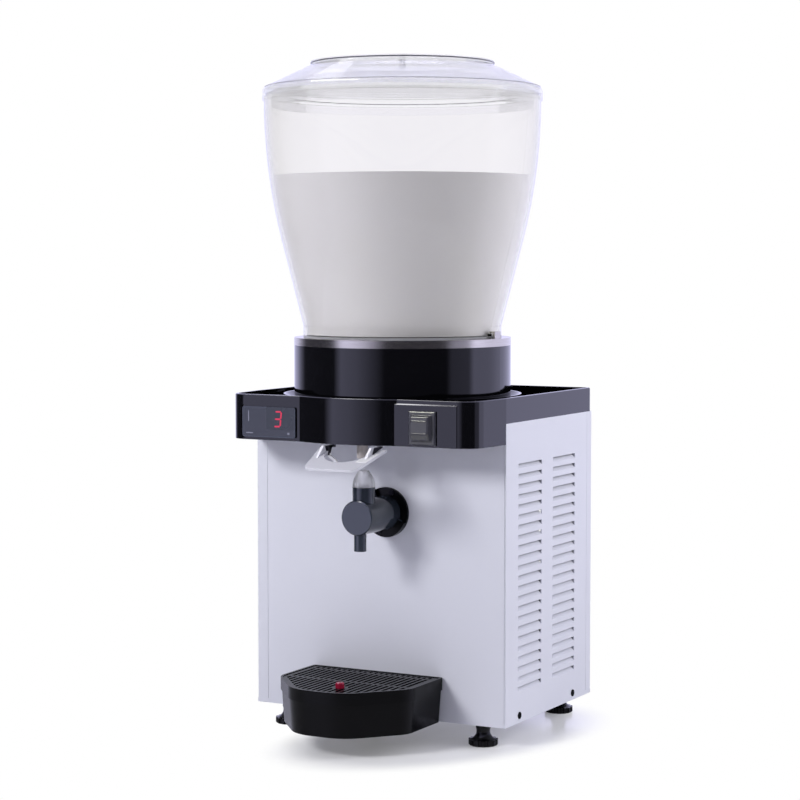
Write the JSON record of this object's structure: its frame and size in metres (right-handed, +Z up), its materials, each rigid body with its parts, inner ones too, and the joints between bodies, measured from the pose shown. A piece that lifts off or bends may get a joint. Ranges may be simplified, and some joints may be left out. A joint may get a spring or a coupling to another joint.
{
  "type": "ayran dispenser",
  "caption": "Countertop chilled drink dispenser: clear lidded bowl on a black cooling drum, louvred white cabinet, pinch tap with lever, frother below it and a drip tray.",
  "frame": {"origin": "on the counter, under the middle of the whole machine's box", "axes": "+Z up, -Y towards the person using the tap, +X to that person's right"},
  "size_m": [0.2814, 0.327, 0.6685],
  "materials": {
    "white_powder_coat": "semi-gloss powder coat",
    "galvanised_sheet": "zinc plated",
    "black_gloss_plastic": "moulded gloss",
    "black_satin_plastic": "moulded satin",
    "foam": "foamed",
    "stainless_steel": "brushed",
    "dark_steel": "painted",
    "clear_polycarbonate": "clear polished",
    "clear_soft_boot": "clear soft vinyl",
    "white_plastic": "moulded gloss",
    "slate_plastic": "moulded satin",
    "silicone": "translucent silicone",
    "black_rubber": "moulded",
    "red_plastic": "moulded",
    "copper": "drawn tube",
    "aluminium_fins": "mill finish",
    "fan_plastic": "moulded"
  },
  "bodies": {
    "cabinet": {"agitator_gearbox": "dark_steel", "agitator_motor": "dark_steel", "base_pan": "white_powder_coat", "bowl_gasket": "silicone", "bowl_hooks": "stainless_steel", "cable_gland": "black_satin_plastic", "compressor": "dark_steel", "compressor_grommets": "black_rubber", "condenser": "aluminium_fins", "cooling_pot": "stainless_steel", "discharge_line": "copper", "drum_jacket": "black_gloss_plastic", "evaporator": "copper", "fan_motor": "dark_steel", "fan_shroud": "galvanised_sheet", "feed_line": "copper", "filter_drier": "copper", "flange_screws": "galvanised_sheet", "foot_nuts": "galvanised_sheet", "front_left_foot": "black_satin_plastic", "front_panel": "white_powder_coat", "front_right_foot": "black_satin_plastic", "frother_flange": "black_gloss_plastic", "frother_motor": "dark_steel", "frother_seal": "black_rubber", "left_side_panel": "white_powder_coat", "lever_pin": "stainless_steel", "liquid_line": "copper", "panel_screws": "galvanised_sheet", "pot_insulation": "foam", "rear_left_foot": "black_satin_plastic", "rear_panel": "white_powder_coat", "rear_right_foot": "black_satin_plastic", "right_side_panel": "white_powder_coat", "shaft_seal": "black_rubber", "suction_line": "copper", "switch_boot": "clear_soft_boot", "switch_frame": "black_satin_plastic", "tap_bracket": "dark_steel", "tap_tube": "silicone", "thermostat_face": "slate_plastic", "thermostat_housing": "slate_plastic", "top_cover": "black_gloss_plastic", "top_deck": "galvanised_sheet", "tray_rail": "galvanised_sheet"},
    "bowl": {"bowl": "clear_polycarbonate"},
    "lid": {"lid": "clear_polycarbonate"},
    "agitator": {"agitator_paddle": "white_plastic", "agitator_shaft": "stainless_steel"},
    "lever": {"tap_lever": "white_plastic", "lever_spring": "stainless_steel"},
    "frother": {"frother_body": "slate_plastic", "frother_dome": "silicone"},
    "whisk": {"frother_impeller": "white_plastic", "frother_shaft": "stainless_steel"},
    "rocker": {"switch_rocker": "black_satin_plastic"},
    "fan": {"fan_rotor": "fan_plastic"},
    "tray": {"drip_tray": "black_satin_plastic"},
    "grille": {"drip_grille": "black_satin_plastic"},
    "float": {"tray_float": "red_plastic"}
  },
  "joints": [
    {"name": "bowl_turn", "type": "hinge", "parent": "cabinet", "child": "bowl", "pos_m": [0, 0.0078, 0.3972], "axis": [0, 0, 1], "range_deg": [0, 20]},
    {"name": "lid_lift", "type": "slide", "parent": "bowl", "child": "lid", "axis": [0, 0, 1], "range_m": [0, 0.06]},
    {"name": "agitator_spin", "type": "hinge", "parent": "cabinet", "child": "agitator", "pos_m": [0, 0.0078, 0.3376], "axis": [0, 0, 1], "continuous": true},
    {"name": "lever_press", "type": "hinge", "parent": "cabinet", "child": "lever", "pos_m": [0.01, -0.1007, 0.302], "axis": [1, 0, 0], "range_deg": [0, 20], "stiffness_Nm_per_rad": 0.3, "springref_deg": -11.46},
    {"name": "frother_turn", "type": "hinge", "parent": "cabinet", "child": "frother", "pos_m": [0.01, -0.0435, 0.224], "axis": [0, -1, 0], "range_deg": [0, 40]},
    {"name": "whisk_spin", "type": "hinge", "parent": "cabinet", "child": "whisk", "pos_m": [0.01, -0.0435, 0.224], "axis": [0, -1, 0], "continuous": true},
    {"name": "rocker_flip", "type": "hinge", "parent": "cabinet", "child": "rocker", "pos_m": [0.082, -0.1029, 0.3133], "axis": [1, 0, 0], "range_deg": [0, 20]},
    {"name": "fan_spin", "type": "hinge", "parent": "cabinet", "child": "fan", "pos_m": [-0.0994, 0.0845, 0.0812], "axis": [1, 0, 0], "continuous": true},
    {"name": "tray_lift", "type": "slide", "parent": "cabinet", "child": "tray", "axis": [0, 0, 1], "range_m": [0, 0.03]},
    {"name": "grille_lift", "type": "slide", "parent": "tray", "child": "grille", "axis": [0, 0, 1], "range_m": [0, 0.03]},
    {"name": "float_rise", "type": "slide", "parent": "tray", "child": "float", "axis": [0, 0, 1], "range_m": [0, 0.015]}
  ]
}
